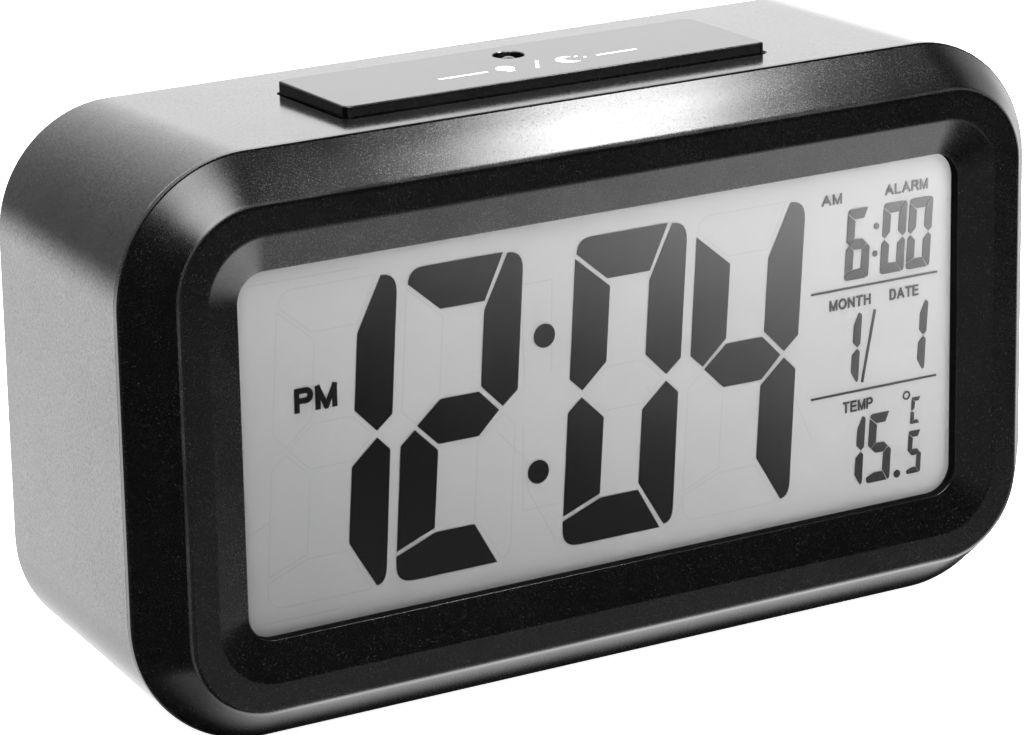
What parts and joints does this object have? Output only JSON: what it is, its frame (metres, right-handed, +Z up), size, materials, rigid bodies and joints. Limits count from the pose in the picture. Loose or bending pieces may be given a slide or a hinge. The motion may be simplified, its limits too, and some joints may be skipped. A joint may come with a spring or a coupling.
{
  "type": "alarm clock",
  "caption": "Free-standing digital desk alarm clock with a wide segment display in a bevelled frame, a long snooze bar on top and rear controls.",
  "frame": {"origin": "centre of the footprint on the surface that the rubber feet stand on", "axes": "+Z up, +X along the width to the right of someone facing the display, +Y from the display to the back"},
  "size_m": [0.1354, 0.044, 0.0776],
  "materials": {
    "bezel_plastic": "satin black with fine metallic grain",
    "case_plastic": "satin black with fine metallic grain",
    "bar_plastic": "satin black",
    "key_plastic": "matte dark grey",
    "clear_lens": "clear acrylic",
    "lcd_glass": "grey display face",
    "lcd_back": "grey display glass",
    "white_plastic": "matte white",
    "reflector_film": "bright film",
    "zebra_rubber": "striped silicone",
    "circuit_board": "green solder mask",
    "chip_black": "black epoxy",
    "chip_tan": "ceramic chips",
    "steel": "bright plated",
    "brass_disc": "plain brass",
    "ribbon": "grey flat cable",
    "foot_rubber": "black rubber",
    "cell_wrap": "printed shrink wrap"
  },
  "bodies": {
    "case": {"front_bezel": "bezel_plastic", "lens_window": "clear_lens", "lcd_front_glass": "lcd_glass", "lcd_rear_glass": "lcd_back", "light_guide": "white_plastic", "reflector": "reflector_film", "lcd_frame": "white_plastic", "zebra_strip": "zebra_rubber", "backlight_leds": "white_plastic", "main_board": "circuit_board", "clock_chip": "chip_black", "crystal": "steel", "chip_parts": "chip_tan", "main_board_screws": "steel", "rear_housing": "case_plastic", "rubber_feet": "foot_rubber", "case_screws": "steel", "button_board": "circuit_board", "button_board_screws": "steel", "switch_bases": "chip_black", "slide_switch_bases": "steel", "buzzer_disc": "brass_disc", "thermistor": "chip_tan", "snooze_board": "circuit_board", "snooze_board_screws": "steel", "snooze_switch_base": "chip_black", "light_sensor": "clear_lens", "ribbon_cables": "ribbon", "battery_cells": "cell_wrap", "battery_springs": "steel", "battery_plates": "steel", "snooze_springs": "steel"},
    "snooze_key": {"snooze_bar": "bar_plastic", "sensor_lens": "clear_lens", "snooze_plunger": "white_plastic"},
    "battery_cover": {"battery_door": "case_plastic"},
    "alarm_switch": {"alarm_slider": "key_plastic"},
    "sensor_switch": {"sensor_slider": "key_plastic"},
    "mode_key": {"mode_button": "key_plastic", "mode_plunger": "white_plastic"},
    "set_key": {"set_button": "key_plastic", "set_plunger": "white_plastic"},
    "up_key": {"up_button": "key_plastic", "up_plunger": "white_plastic"},
    "down_key": {"down_button": "key_plastic", "down_plunger": "white_plastic"},
    "alarm_key": {"alarm_button": "key_plastic", "alarm_plunger": "white_plastic"}
  },
  "joints": [
    {"name": "snooze_press", "type": "slide", "parent": "case", "child": "snooze_key", "axis": [0, 0, -1], "range_m": [0, 0.0008], "stiffness_N_per_m": 500, "springref_m": -0.0015, "deforming": ["snooze_springs"]},
    {"name": "mode_press", "type": "slide", "parent": "case", "child": "mode_key", "axis": [0, -1, 0], "range_m": [0, 0.0005], "stiffness_N_per_m": 400, "springref_m": -0.001},
    {"name": "set_press", "type": "slide", "parent": "case", "child": "set_key", "axis": [0, -1, 0], "range_m": [0, 0.0005], "stiffness_N_per_m": 400, "springref_m": -0.001},
    {"name": "up_press", "type": "slide", "parent": "case", "child": "up_key", "axis": [0, -1, 0], "range_m": [0, 0.0005], "stiffness_N_per_m": 400, "springref_m": -0.001},
    {"name": "down_press", "type": "slide", "parent": "case", "child": "down_key", "axis": [0, -1, 0], "range_m": [0, 0.0005], "stiffness_N_per_m": 400, "springref_m": -0.001},
    {"name": "alarm_press", "type": "slide", "parent": "case", "child": "alarm_key", "axis": [0, -1, 0], "range_m": [0, 0.0005], "stiffness_N_per_m": 400, "springref_m": -0.001},
    {"name": "alarm_slide", "type": "slide", "parent": "case", "child": "alarm_switch", "axis": [1, 0, 0], "range_m": [0, 0.003]},
    {"name": "sensor_slide", "type": "slide", "parent": "case", "child": "sensor_switch", "axis": [1, 0, 0], "range_m": [0, 0.003]},
    {"name": "door_hinge", "type": "hinge", "parent": "case", "child": "battery_cover", "pos_m": [0, 0.021, 0.009], "axis": [-1, 0, 0], "range_deg": [0, 95]}
  ]
}
